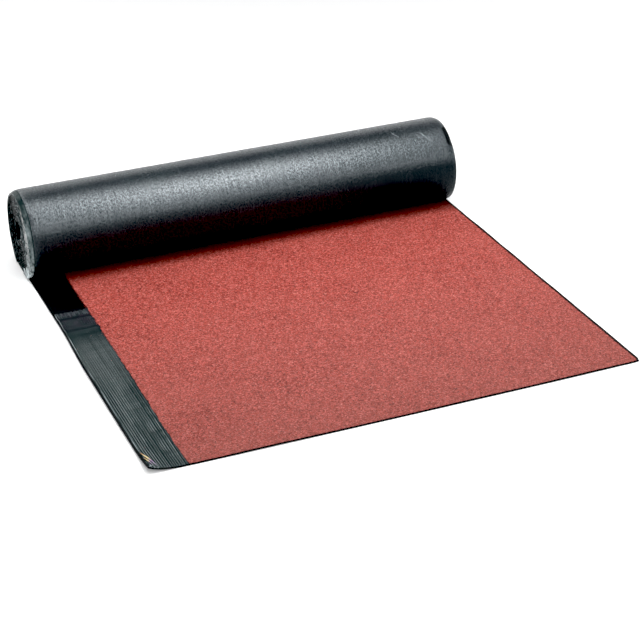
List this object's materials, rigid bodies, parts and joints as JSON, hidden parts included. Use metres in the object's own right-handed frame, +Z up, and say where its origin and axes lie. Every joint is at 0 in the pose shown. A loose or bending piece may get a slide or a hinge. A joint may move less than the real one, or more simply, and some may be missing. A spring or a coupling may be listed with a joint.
{
  "type": "roll of roofing felt",
  "caption": "Roll of red mineral-surfaced roofing felt with a bare lap strip, partly unrolled, for torching onto a flat or low-pitched roof.",
  "frame": {"origin": "on the floor under the middle of the bounding box", "axes": "+X across the felt along the roll's axis, away from the bare lap strip; +Y from the felt's free end towards the roll; +Z up from the floor"},
  "size_m": [1, 1.0138, 0.1888],
  "materials": {
    "bitumen": "smooth black burn-off film over bitumen, satin",
    "mineral": "red crushed slate granules, matt and rough",
    "selvedge_film": "black lap strip under a thin ribbed film, glossy"
  },
  "bodies": {
    "root": {"felt_roll": "bitumen"}
  },
  "joints": []
}
